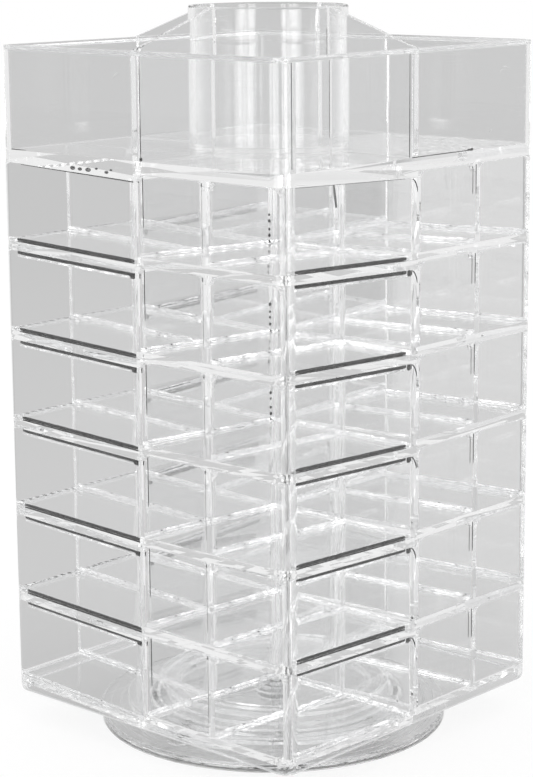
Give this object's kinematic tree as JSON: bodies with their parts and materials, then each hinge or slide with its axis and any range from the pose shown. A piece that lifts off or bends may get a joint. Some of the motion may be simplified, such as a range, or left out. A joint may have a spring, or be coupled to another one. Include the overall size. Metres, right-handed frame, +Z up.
{
  "type": "rotating lipstick holder",
  "caption": "Clear square tower of open sloped cells for lipsticks, with an open top tray and a round cup, on a ball-bearing turntable base.",
  "frame": {"origin": "on the table under the turntable's axis, the bottom centre of the bounding box", "axes": "+Z up along the turntable's axis, +X and -Y square out of the two side faces that the picture shows, right and left"},
  "size_m": [0.1494, 0.1494, 0.2882],
  "materials": {
    "clear_plastic": "polished, colourless",
    "bearing_plastic": "smooth, translucent natural",
    "ball_plastic": "polished, white",
    "pad_rubber": "smooth, translucent"
  },
  "bodies": {
    "base": {"anti_slip_pads": "pad_rubber", "base_disc": "clear_plastic", "pivot_pin": "bearing_plastic", "thrust_washer": "bearing_plastic", "retaining_cap": "bearing_plastic"},
    "ball_ring": {"ball_cage": "bearing_plastic", "bearing_balls": "ball_plastic"},
    "tower": {"turntable_disc": "clear_plastic", "bottom_slab": "clear_plastic", "tier_walls_1": "clear_plastic", "tier_walls_2": "clear_plastic", "tier_walls_3": "clear_plastic", "tier_walls_4": "clear_plastic", "tier_walls_5": "clear_plastic", "tier_walls_6": "clear_plastic", "shelf_plate_1": "clear_plastic", "shelf_plate_2": "clear_plastic", "shelf_plate_3": "clear_plastic", "shelf_plate_4": "clear_plastic", "shelf_plate_5": "clear_plastic", "top_tray": "clear_plastic", "center_cup": "clear_plastic"}
  },
  "joints": [
    {"name": "turntable_spin", "type": "hinge", "parent": "base", "child": "tower", "pos_m": [0, 0, 0], "axis": [0, 0, 1], "continuous": true},
    {"name": "ball_ring_spin", "type": "hinge", "parent": "base", "child": "ball_ring", "pos_m": [0, 0, 0], "axis": [0, 0, 1], "continuous": true}
  ],
  "couplings": [
    {"joint": "ball_ring_spin", "follows": "turntable_spin", "ratio": 0.5}
  ]
}
